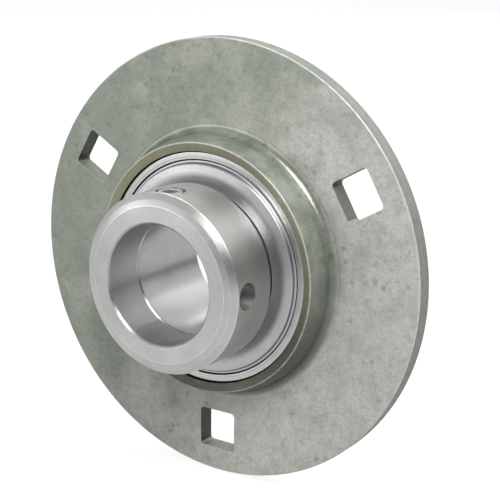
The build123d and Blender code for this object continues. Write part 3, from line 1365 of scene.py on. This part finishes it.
@dataclass
class PressedShell:
    """One of the two sheet pressings that grip the bearing."""

    gauge: Gauge
    side: Side
    sheet: float = 2.0 * MM
    neck_bend: float = 1.8 * MM
    seat_clearance: float = 0.05 * MM
    lip_overhang: float = 0.5 * MM
    lip_round: float = 0.29 * MM
    lip_edge: float = 0.06 * MM
    rim_round: float = 0.3 * MM
    seam_round: float = 0.04 * MM
    bolt_count: int = 3
    bolt_square: float = 8.8 * MM
    bolt_corner: float = 0.8 * MM
    edge_break: float = 0.16 * MM
    margin: float = 0.6 * MM
    segments: int = 576
    neck_steps: int = 20
    dome_steps: int = 24
    seat_bend_steps: int = 12

    def outline(self) -> Outline:
        """The section of the shell.

        Returns:
            The outline of the front shell.
        """
        seat = self.gauge.sphere_radius + self.seat_clearance
        outside = seat + self.sheet
        bend_station = self.sheet + self.neck_bend
        bend_distance = outside + self.neck_bend
        bend_radius = math.sqrt(bend_distance**2 - bend_station**2)
        lip = math.asin((self.gauge.half_width + self.lip_overhang) / seat)
        centre = Spot(bend_radius, -bend_station)
        origin = Spot(0.0, 0.0)
        rim = self.gauge.flange_radius
        neck_outside = origin.towards(centre, outside / bend_distance)
        neck_inside = origin.towards(centre, seat / bend_distance)
        lip_outside = Spot(outside * math.cos(lip), -outside * math.sin(lip))
        lip_inside = Spot(seat * math.cos(lip), -seat * math.sin(lip))
        section = Outline()
        # The rim's front corner and the lip's outer corner get edge rubbing with a painted highlight
        section.to(rim, 0.0, self.seam_round).to(rim, -self.sheet, self.rim_round, worn=1.0)
        section.to(rim - self.margin, -self.sheet)
        section.to(bend_radius + self.margin, -self.sheet)
        section.to(bend_radius, -self.sheet)
        section.arc(centre, neck_outside, self.neck_steps)
        section.arc(origin, lip_outside, self.dome_steps, self.lip_round, worn=1.0)
        section.to(lip_inside.radius, lip_inside.station, self.lip_edge)
        section.arc(origin, neck_inside, self.dome_steps)
        section.arc(centre, Spot(bend_radius, 0.0), self.seat_bend_steps)
        section.to(bend_radius + self.margin, 0.0)
        section.to(rim - self.margin, 0.0)
        return section.facing(self.side)

    def bolt_holes(self, copies: GeometryTree, finish: bpy.types.Material) -> bpy.types.Object:
        """The cutter for the square bolt holes.

        Args:
            copies: The tree that sets copies round the axis.
            finish: Material of the hole walls.

        Returns:
            The cutter.
        """
        square = rounded_square(self.bolt_square, self.bolt_corner)
        reach = 2 * self.sheet
        punch = prism("bolt punch", square, -reach, reach)
        return copies.grow(
            punch,
            Finish=finish,
            Count=self.bolt_count,
            Radius=self.gauge.bolt_radius,
            First_angle=self.gauge.first_bolt_angle,
        )

    def build(self, copies: GeometryTree, finishes: Finishes) -> bpy.types.Object:
        """Builds and dresses the shell.

        Args:
            copies: The tree that sets copies round the axis.
            finishes: The finishes.

        Returns:
            The shell.
        """
        shell = turned(f"{self.side.word}_shell", self.outline(), self.segments)
        cut(shell, [self.bolt_holes(copies, finishes.made["housing"])])
        smoothed(shell, self.edge_break, spared_station=0.0)
        return finishes.dress(shell, "housing", "housing", f"{self.side.word}_housing_shell")


@dataclass
class BearingRings:
    """The spherical outer ring and the inner ring with its eccentric boss."""

    gauge: Gauge
    ball_diameter: float = 7.938 * MM
    ball_clearance: float = 0.04 * MM
    conformity: float = 0.52
    shoulder_share: float = 0.18
    seal_seat_wall: float = 1.9 * MM
    seal_floor: float = 5.45 * MM
    outer_chamfer: float = 0.5 * MM
    ring_chamfer: float = 0.4 * MM
    edge_break: float = 0.08 * MM
    face_line: float = 0.62 * MM
    face_line_depth: float = 0.05 * MM
    boss_root_gap: float = 0.3 * MM
    boss_step: float = 0.55 * MM
    eccentricity: float = 0.8 * MM
    outer_segments: int = 512
    sphere_steps: int = 32
    groove_steps: int = 24

    @property
    def boss_radius(self) -> float:
        """Radius of the eccentric boss."""
        return self.gauge.land_radius - self.eccentricity - self.boss_step

    @property
    def pitch_radius(self) -> float:
        """Radius of the circle on which the balls lie."""
        return (self.gauge.shaft_radius + self.gauge.sphere_radius) / 2

    @property
    def shoulder_radius(self) -> float:
        """Radius of the outer ring's shoulders beside its raceway."""
        reach = self.ball_diameter * (0.5 - self.shoulder_share)
        return self.pitch_radius + reach

    def groove(self, bottom: float, outwards: int, shoulder: float) -> tuple[Spot, float]:
        """The raceway's arc.

        Args:
            bottom: Radius of its deepest point.
            outwards: 1 for the outer ring, -1 for the inner one.
            shoulder: Radius of the shoulders that it meets.

        Returns:
            The centre of its arc and half its width.
        """
        curve = self.conformity * self.ball_diameter
        centre = bottom - outwards * curve
        return Spot(centre, 0.0), math.sqrt(curve**2 - (shoulder - centre) ** 2)

    def outer(self, finishes: Finishes) -> bpy.types.Object:
        """Builds and dresses the outer ring.

        Args:
            finishes: The finishes.

        Returns:
            The ring.
        """
        gauge = self.gauge
        bottom = self.pitch_radius + self.ball_diameter / 2 + self.ball_clearance
        centre, half = self.groove(bottom, 1, self.shoulder_radius)
        face = gauge.face_radius
        seat = face - self.seal_seat_wall
        line, bottom_of_line = seat + self.face_line, gauge.half_width - self.face_line_depth
        section = Outline()
        section.to(face, -gauge.half_width, self.outer_chamfer)
        sphere_end = Spot(face, gauge.half_width)
        section.arc(Spot(0.0, 0.0), sphere_end, self.sphere_steps, self.outer_chamfer)
        section.to(line + self.face_line_depth, gauge.half_width).to(line, bottom_of_line)
        section.to(line - self.face_line_depth, gauge.half_width)
        section.to(seat, gauge.half_width, self.edge_break).to(seat, self.seal_floor)
        section.to(self.shoulder_radius, self.seal_floor, self.edge_break)
        section.to(self.shoulder_radius, half)
        section.arc(centre, Spot(self.shoulder_radius, -half), self.groove_steps)
        section.to(self.shoulder_radius, -self.seal_floor, self.edge_break)
        section.to(seat, -self.seal_floor).to(seat, -gauge.half_width, self.edge_break)
        section.to(line - self.face_line_depth, -gauge.half_width).to(line, -bottom_of_line)
        section.to(line + self.face_line_depth, -gauge.half_width)
        ring = smoothed(turned("spherical_outer_ring", section, self.outer_segments))
        return finishes.dress(ring, "ring", "bearing_outer", "outer_ring")

    def inner(self, finishes: Finishes) -> bpy.types.Object:
        """Builds and dresses the inner ring.

        Args:
            finishes: The finishes.

        Returns:
            The ring.
        """
        gauge = self.gauge
        land, bore, chamfer = gauge.land_radius, gauge.shaft_radius, self.ring_chamfer
        root = gauge.collar_rear + self.boss_root_gap
        boss = self.boss_radius
        front = gauge.ring_front
        bottom = self.pitch_radius - self.ball_diameter / 2 - self.ball_clearance
        centre, half = self.groove(bottom, -1, land)
        section = Outline()
        section.to(land, gauge.half_width - chamfer, self.edge_break)
        section.to(land - chamfer, gauge.half_width, self.edge_break)
        section.to(bore + chamfer, gauge.half_width, self.edge_break)
        section.to(bore, gauge.half_width - chamfer, self.edge_break)
        section.to(bore, front + chamfer, self.edge_break)
        section.to(bore + chamfer, front, self.edge_break)
        section.to(boss - chamfer, front, self.edge_break, self.eccentricity)
        section.to(boss, front + chamfer, self.edge_break, self.eccentricity)
        section.to(boss, root, 0.0, self.eccentricity)
        section.to(land, root, self.edge_break).to(land, -half)
        section.arc(centre, Spot(land, half), self.groove_steps)
        ring = smoothed(turned("bored_inner_ring", section))
        return finishes.dress(ring, "ring", "bearing_inner", "inner_ring")


@dataclass
class BallSet:
    """The balls and the snap cage that spaces them."""

    gauge: Gauge
    rings: BearingRings
    count: int = 9
    cage_clearance: float = 0.7 * MM
    pocket_clearance: float = 0.15 * MM
    relief_width: float = 2.4 * MM
    relief_depth: float = 3.4 * MM
    edge_break: float = 0.12 * MM
    ball_steps: int = 64
    pocket_steps: int = 48

    def balls(self, finishes: Finishes) -> None:
        """Builds and dresses the balls.

        Args:
            finishes: The finishes.
        """
        for index in range(self.count):
            node = f"ball_{index + 1}"
            low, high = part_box(node)
            name, centre = f"rolling_{node}_polished", (low + high) / 2
            ball = sphere(name, self.rings.ball_diameter / 2, self.ball_steps, centre)
            ball.data.shade_smooth()
            finishes.dress(ball, "ball", f"rolling_{node}", node)

    def cage(self, copies: GeometryTree, finishes: Finishes) -> bpy.types.Object:
        """Builds and dresses the cage.

        Args:
            copies: The tree that sets copies round the axis.
            finishes: The finishes.

        Returns:
            The cage.
        """
        low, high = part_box("cage")
        inside = self.gauge.land_radius + self.cage_clearance
        outside = self.rings.shoulder_radius - self.cage_clearance
        section = Outline()
        section.to(inside, low.y, self.edge_break).to(outside, low.y, self.edge_break)
        section.to(outside, high.y, self.edge_break).to(inside, high.y, self.edge_break)
        body = turned("snap_cage", section)
        hollow = self.rings.ball_diameter / 2 + self.pocket_clearance
        pocket = sphere("pockets", hollow, self.pocket_steps, (0.0, 0.0, 0.0))
        half = self.relief_width / 2
        depth = outside - inside
        corners = [(-depth, -half), (depth, -half), (depth, half), (-depth, half)]
        slot = prism("relief", corners, low.y - self.relief_depth, low.y + self.relief_depth)
        shared = {
            "Finish": finishes.made["cage"],
            "Count": self.count,
            "Radius": self.rings.pitch_radius,
        }
        pockets = copies.grow(pocket, First_angle=TURN / 4, **shared)
        middle = TURN / 4 + TURN / self.count / 2
        slots = copies.grow(slot, First_angle=middle, **shared)
        cut(body, [pockets, slots])
        smoothed(body, self.edge_break)
        return finishes.dress(body, "cage", "ball_cage", "cage")


@dataclass
class Seal:
    """One seal: two sheet washers with a rubber lip between them.

    Its stations are distances from the middle of the bearing, drawn for the front.
    """

    gauge: Gauge
    side: Side
    inset: float = 0.25 * MM
    depth: float = 0.95 * MM
    outer_sheet: float = 0.5 * MM
    inner_sheet: float = 0.35 * MM
    inner_step: float = 0.25 * MM
    hole_gap: float = 0.25 * MM
    rim: float = 0.95 * MM
    step: float = 0.25 * MM
    crown_rise: float = 0.28 * MM
    crown_bend: float = 3.0 * MM
    seam: float = 0.1 * MM
    step_fold: float = 0.3 * MM
    hub_width: float = 1.45 * MM
    hub_sink: float = 0.35 * MM
    hub_slope: float = 0.1 * MM
    block: float = 0.75 * MM
    web_gap: float = 0.12 * MM
    web: float = 0.4 * MM
    lip_length: float = 0.6 * MM
    lip_edge: float = 0.25 * MM
    lip_clearance: float = 0.05 * MM
    fold: float = 0.12 * MM
    fold_steps: int = 8

    @property
    def outer_back(self) -> float:
        """Distance of the outer washer's back from the centre."""
        return self.gauge.half_width - self.inset - self.outer_sheet

    @property
    def inner_front(self) -> float:
        """Distance of the inner washer's front from the centre."""
        return self.outer_back - self.depth

    def bent(self, spots: Sequence[Spot], sheet: float, softness: Sequence[float]) -> Outline:
        """The section of a bent sheet.

        Args:
            spots: The path of its back, from the rim inwards.
            sheet: Its thickness, towards the front.
            softness: How far from each bend its rounding starts.

        Returns:
            The outline.
        """
        path = [Vector((spot.radius, spot.station)) for spot in spots]
        runs = [(b - a).normalized() for a, b in zip(path, path[1:])]
        lefts = [Vector((-run.y, run.x)) for run in runs]
        mitres = [lefts[0]]
        for before, after in zip(lefts, lefts[1:]):
            mitre = (before + after).normalized()
            mitres.append(mitre / mitre.dot(before))
        mitres.append(lefts[-1])
        soft = [self.fold / 2, *softness, self.fold / 2]
        section = Outline(soft_steps=self.fold_steps)
        for point, reach in zip(path, soft):
            section.to(point.x, point.y, reach)
        for point, mitre, reach in reversed(list(zip(path, mitres, soft))):
            section.to(point.x + mitre.x * sheet, point.y + mitre.y * sheet, reach)
        return section

    def outer_washer(self, finishes: Finishes) -> bpy.types.Object:
        """Builds and dresses the crowned outer washer.

        Args:
            finishes: The finishes.

        Returns:
            The washer.
        """
        rim_inside = self.gauge.washer_radius - self.rim
        crown_outside = rim_inside - self.step
        hole = self.gauge.land_radius + self.hole_gap
        hub_outside = hole + self.hub_width
        crown_inside = hub_outside + self.step
        middle = (crown_outside + crown_inside) / 2
        slope = math.atan2(self.crown_rise, crown_outside - middle)
        rounded_off = self.crown_bend * (1 / math.cos(slope) - 1)
        top = self.gauge.seal_reach - self.outer_sheet + rounded_off
        foot = top - self.crown_rise
        hub = foot - self.hub_sink
        crown = (self.crown_bend + self.outer_sheet) * math.tan(slope)
        spots = [
            Spot(self.gauge.washer_radius - self.seam, -self.outer_back),
            Spot(rim_inside, -self.outer_back),
            Spot(crown_outside, -foot),
            Spot(middle, -top),
            Spot(crown_inside, -foot),
            Spot(hub_outside, -hub),
            Spot(hole, self.hub_slope - hub),
        ]
        softness = [self.step_fold, self.step_fold, crown, self.fold, self.fold]
        section = self.bent(spots, self.outer_sheet, softness).facing(self.side)
        washer = smoothed(turned(f"{self.side.word}_crowned_washer", section))
        node = f"{self.side.word}_seal_outer_washer"
        return finishes.dress(washer, "seal_sheet", "bearing_outer", node)

    def inner_washer(self, finishes: Finishes) -> bpy.types.Object:
        """Builds and dresses the inner washer.

        Args:
            finishes: The finishes.

        Returns:
            The washer.
        """
        floor = self.inner_front - self.inner_sheet
        stepped = self.gauge.washer_radius - self.rim - self.step
        raised = floor + self.inner_step
        spots = [
            Spot(self.gauge.washer_radius, -floor),
            Spot(stepped, -floor),
            Spot(stepped - self.inner_step, -raised),
            Spot(self.gauge.land_radius + self.hole_gap, -raised),
        ]
        section = self.bent(spots, self.inner_sheet, [self.fold, self.fold]).facing(self.side)
        washer = smoothed(turned(f"{self.side.word}_backing_washer", section))
        node = f"{self.side.word}_seal_inner_washer"
        return finishes.dress(washer, "seal_sheet", "bearing_outer", node)

    def lip(self, finishes: Finishes) -> bpy.types.Object:
        """Builds and dresses the rubber lip.

        Args:
            finishes: The finishes.

        Returns:
            The lip.
        """
        rim = self.gauge.washer_radius
        block = rim - self.block
        back = -(self.inner_front + self.inner_step + self.web_gap)
        front = back - self.web
        tip = self.gauge.land_radius + self.lip_clearance
        root = tip + self.lip_length
        section = Outline()
        section.to(rim, -self.inner_front).to(block, -self.inner_front).to(block, back)
        section.to(root, back, self.fold).to(tip, front + self.lip_edge / 2, self.fold / 2)
        section.to(tip, front - self.lip_edge / 2, self.fold / 2).to(root, front, self.fold)
        section.to(block, front).to(block, -self.outer_back).to(rim, -self.outer_back)
        rubber = smoothed(turned(f"{self.side.word}_rubber_lip", section.facing(self.side)))
        node = f"{self.side.word}_seal_lip"
        return finishes.dress(rubber, "seal_rubber", "bearing_outer", node)

    def build(self, finishes: Finishes) -> None:
        """Builds the whole seal.

        Args:
            finishes: The finishes.
        """
        self.outer_washer(finishes)
        self.inner_washer(finishes)
        self.lip(finishes)


@dataclass
class LockingCollar:
    """The eccentric collar with its cross hole and its blind drift hole."""

    gauge: Gauge
    rings: BearingRings
    rear_chamfer: float = 0.3 * MM
    bevel_rise: float = 0.5 * MM
    bevel_spread: float = 1.2 * MM
    chamfer_rise: float = 0.95 * MM
    chamfer_spread: float = 1.35 * MM
    bore_chamfer: float = 0.45 * MM
    eccentric_clearance: float = 0.35 * MM
    end_gap: float = 0.3 * MM
    screw_clearance: float = 0.03 * MM
    drift_diameter: float = 5.5 * MM
    drift_floor: float = 2.2 * MM
    drill_point_deg: float = 118.0
    edge_break: float = 0.14 * MM
    segments: int = 360
    hole_segments: int = 96

    def outline(self) -> Outline:
        """The section of the collar, with the recess for the boss.

        Returns:
            The outline.
        """
        gauge = self.gauge
        outside, bore, nose = gauge.collar_radius, gauge.shaft_radius, gauge.nose
        lift = self.rings.eccentricity
        recess = self.rings.boss_radius + self.eccentric_clearance
        floor = gauge.ring_front - self.end_gap
        bevel = outside - self.chamfer_spread
        soft = self.edge_break
        section = Outline()
        section.to(bore, nose + self.bore_chamfer, soft / 2)
        section.to(bore + self.bore_chamfer, nose, soft / 2)
        # Edge rubbing with a painted highlight on the collar's front corners
        section.to(bevel - self.bevel_spread, nose, soft, worn=0.6)
        section.to(bevel, nose + self.bevel_rise, soft, worn=0.4)
        section.to(outside, nose + self.bevel_rise + self.chamfer_rise, soft, worn=0.8)
        section.to(outside, gauge.collar_rear - self.rear_chamfer, soft / 2)
        section.to(outside - self.rear_chamfer, gauge.collar_rear, soft / 2)
        section.to(recess, gauge.collar_rear, 0.0, lift)
        section.to(recess, floor, 0.0, lift)
        section.to(bore, floor)
        return section

    def cross_tool(
        self, name: str, radius: float, floor: float, point: float, angle: float
    ) -> bpy.types.Object:
        """The cutter for a hole square to the shaft.

        Args:
            name: Name of the cutter.
            radius: Radius of the hole.
            floor: Distance from the shaft axis to the end of its full width.
            point: Length of the cone below the floor.
            angle: Turn about the shaft, 0 for straight up.

        Returns:
            The cutter.
        """
        top = self.gauge.collar_radius + radius
        section = Outline().to(0.0, floor - point).to(radius, floor).to(radius, top).to(0.0, top)
        tool = turned(name, section, self.hole_segments)
        return stood_up(tool, self.gauge.cross_hole_station, angle)

    def build(self, finishes: Finishes) -> bpy.types.Object:
        """Builds and dresses the collar.

        Args:
            finishes: The finishes.

        Returns:
            The collar.
        """
        collar = turned("eccentric_collar", self.outline(), self.segments)
        screw_hole = self.gauge.screw_radius + self.screw_clearance
        inside_bore = self.gauge.shaft_radius / 2
        drift = self.drift_diameter / 2
        floor = self.gauge.shaft_radius + self.drift_floor
        point = drift / math.tan(math.radians(self.drill_point_deg / 2))
        tools = [
            self.cross_tool("screw hole", screw_hole, inside_bore, 0.0, 0.0),
            self.cross_tool("drift hole", drift, floor, point, TURN / 4),
        ]
        cut(collar, tools)
        smoothed(collar, self.edge_break)
        return finishes.dress(collar, "collar", "collar", "locking_collar")


@dataclass
class GrubScrew:
    """The hexagon socket grub screw in the top of the collar."""

    gauge: Gauge
    end_chamfer: float = 0.5 * MM
    pitch: float = 1.0 * MM
    thread_depth: float = 0.28 * MM
    socket_flats: float = 3.0 * MM
    socket_floor: float = 2.6 * MM
    cup_diameter: float = 2.8 * MM
    cup_depth: float = 0.7 * MM
    edge_break: float = 0.06 * MM
    shown_lift: float = 0.3 * MM
    segments: int = 96
    thread_steps: int = 64
    thread_corners: int = 4

    def build(self, thread: GeometryTree, finishes: Finishes) -> bpy.types.Object:
        """Builds and dresses the screw.

        Args:
            thread: The tree that winds a thread round a core.
            finishes: The finishes.

        Returns:
            The screw.
        """
        gauge = self.gauge
        core = gauge.screw_radius - self.thread_depth
        top, foot = gauge.screw_top + self.shown_lift, gauge.screw_foot
        tip = gauge.screw_radius - self.end_chamfer
        section = Outline()
        section.to(0.0, foot + self.cup_depth).to(self.cup_diameter / 2, foot).to(tip, foot)
        section.to(core, foot + self.end_chamfer).to(core, top - self.end_chamfer)
        section.to(tip, top).to(0.0, top)
        screw = turned("socket_grub_screw", section, self.segments)
        across = self.socket_flats / math.sqrt(3)
        corners = [
            (across * math.cos(TURN * side / 6), across * math.sin(TURN * side / 6))
            for side in range(6)
        ]
        key = prism("hexagon key", corners, foot + self.socket_floor, top + self.end_chamfer)
        for part in (screw, key):
            stood_up(part, gauge.cross_hole_station)
        cut(screw, [key])
        smoothed(screw, self.edge_break)
        length = top - foot - 2 * self.end_chamfer
        thread.grow(
            screw,
            Finish=finishes.made["screw"],
            Core_radius=core,
            Depth=self.thread_depth,
            Turns=length / self.pitch,
            Length=length,
            Steps=self.thread_steps,
            Corners=self.thread_corners,
            Foot=(0.0, gauge.cross_hole_station, foot + self.end_chamfer),
        )
        return finishes.dress(screw, "screw", "screw", "grub_screw")


class Lamp(NamedTuple):
    """A soft lamp that faces the unit: its name, place, width and height, and power in watts."""

    name: str
    place: tuple[float, float, float]
    size: tuple[float, float]
    power: float


@dataclass
class Studio:
    """The pale floor, the soft lights and the camera at the photo's angle."""

    gauge: Gauge
    camera_place: tuple[float, float, float] = (0.15579, -0.22324, 0.07232)
    camera_way: tuple[float, float, float] = (-0.53560, 0.80373, -0.25914)
    camera_turn_deg: float = -1.0
    lens: float = 94.93
    sensor: float = 36.0
    shift: tuple[float, float] = (-0.0028, 0.028)
    seen_from: float = 0.01
    seen_to: float = 100.0
    floor_size: float = 60.0
    floor_gap: float = 0.2 * MM
    floor_tone: float = 0.16
    floor_roughness: float = 0.9
    floor_glow: float = 0.88
    floor_shine: float = 0.62
    sky_way: tuple[float, float, float] = (-0.75, 0.0, 0.66)
    sky_levels: tuple[tuple[float, float], ...] = ((0.0, 0.12), (0.9, 0.72))
    lamps: tuple[Lamp, ...] = (
        Lamp("key lamp", (0.36, -0.32, 0.58), (0.42, 0.42), 5.8),
        Lamp("side lamp", (0.38, 0.26, 0.62), (0.6, 0.6), 2.1),
        Lamp("top lamp", (-0.3, 0.3, 0.8), (0.5, 0.5), 3.6),
        Lamp("left lamp", (-0.62, -0.7, 0.16), (0.7, 0.35), 1.7),
        Lamp("rear lamp", (0.16, 0.85, 0.46), (1.5, 0.8), 3.6),
    )

    def camera(self) -> None:
        """Sets the camera up."""
        data = bpy.data.cameras.new("camera")
        data.lens = self.lens
        data.sensor_width = self.sensor
        data.shift_x, data.shift_y = self.shift
        data.clip_start, data.clip_end = self.seen_from, self.seen_to
        camera = new_object("camera", data)
        look = Vector(self.camera_way).to_track_quat("-Z", "Y").to_matrix().to_4x4()
        stand = Matrix.Translation(self.camera_place) @ look
        about_shaft = Matrix.Rotation(math.radians(self.camera_turn_deg), 4, "Y")
        camera.matrix_world = about_shaft @ stand
        bpy.context.scene.camera = camera

    def floor(self) -> None:
        """Lays the floor just below the rim; it looks white and keeps the shadow."""
        work = bmesh.new()
        bmesh.ops.create_grid(work, x_segments=1, y_segments=1, size=self.floor_size / 2)
        mesh = bpy.data.meshes.new("floor")
        work.to_mesh(mesh)
        work.free()
        mesh.transform(Matrix.Translation((0.0, 0.0, -self.gauge.flange_radius - self.floor_gap)))
        board = Board("pale floor")
        board.set(Base_Color=(*(self.floor_tone,) * 3, 1.0), Roughness=self.floor_roughness)
        board.set(Specular_IOR_Level=0.0)
        seen = board.node("ShaderNodeLightPath").outputs
        direct = board.math("MAXIMUM", seen["Is Camera Ray"], seen["Is Transmission Ray"])
        glow = board.math("MULTIPLY", direct, self.floor_glow)
        shine = board.math("MULTIPLY", seen["Is Glossy Ray"], self.floor_shine)
        board.set(Emission_Color=(1.0, 1.0, 1.0, 1.0))
        board.set(Emission_Strength=board.math("MAXIMUM", glow, shine))
        mesh.materials.append(board.material)
        new_object("floor", mesh)

    def world(self) -> None:
        """Fills the sky with a soft grey light, brightest high on the left."""
        world = bpy.data.worlds.new("studio")
        bpy.context.scene.world = world
        world.use_nodes = True
        tree = world.node_tree
        tree.nodes.clear()
        place = tree.nodes.new("ShaderNodeTexCoord")
        lean = tree.nodes.new("ShaderNodeVectorMath")
        ramp = tree.nodes.new("ShaderNodeValToRGB")
        sky = tree.nodes.new("ShaderNodeBackground")
        output = tree.nodes.new("ShaderNodeOutputWorld")
        lean.operation = "DOT_PRODUCT"
        lean.inputs[1].default_value = Vector(self.sky_way).normalized()
        for stop, (position, level) in zip(ramp.color_ramp.elements, self.sky_levels):
            stop.position = position
            stop.color = (level, level, level, 1.0)
        tree.links.new(place.outputs["Generated"], lean.inputs[0])
        tree.links.new(lean.outputs["Value"], ramp.inputs["Fac"])
        tree.links.new(ramp.outputs["Color"], sky.inputs["Color"])
        tree.links.new(sky.outputs["Background"], output.inputs["Surface"])

    def hang(self, lamp: Lamp) -> None:
        """Hangs a lamp.

        Args:
            lamp: What it is and where it hangs.
        """
        data = bpy.data.lights.new(lamp.name, "AREA")
        data.shape = "RECTANGLE"
        data.size, data.size_y = lamp.size
        data.energy = lamp.power
        light = new_object(lamp.name, data)
        light.location = lamp.place
        light.rotation_mode = "QUATERNION"
        light.rotation_quaternion = (-Vector(lamp.place)).to_track_quat("-Z", "Y")

    def build(self) -> None:
        """Builds the whole studio."""
        self.camera()
        self.floor()
        self.world()
        for lamp in self.lamps:
            self.hang(lamp)
        bpy.context.scene.view_settings.view_transform = "Standard"


def main() -> None:
    """Builds every sub-assembly in order and the studio round them."""
    logging.basicConfig(level=logging.INFO, format="%(name)s: %(message)s")
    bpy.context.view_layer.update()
    gauge = Gauge.read()
    finishes = Finishes(gauge)
    copies = ring_of_copies()
    for side in Side:
        PressedShell(gauge, side).build(copies, finishes)
        Seal(gauge, side).build(finishes)
    rings = BearingRings(gauge)
    rings.outer(finishes)
    rings.inner(finishes)
    balls = BallSet(gauge, rings)
    balls.balls(finishes)
    balls.cage(copies, finishes)
    LockingCollar(gauge, rings).build(finishes)
    GrubScrew(gauge).build(thread_round_core(), finishes)
    Studio(gauge).build()


if __name__ == "__main__":
    main()
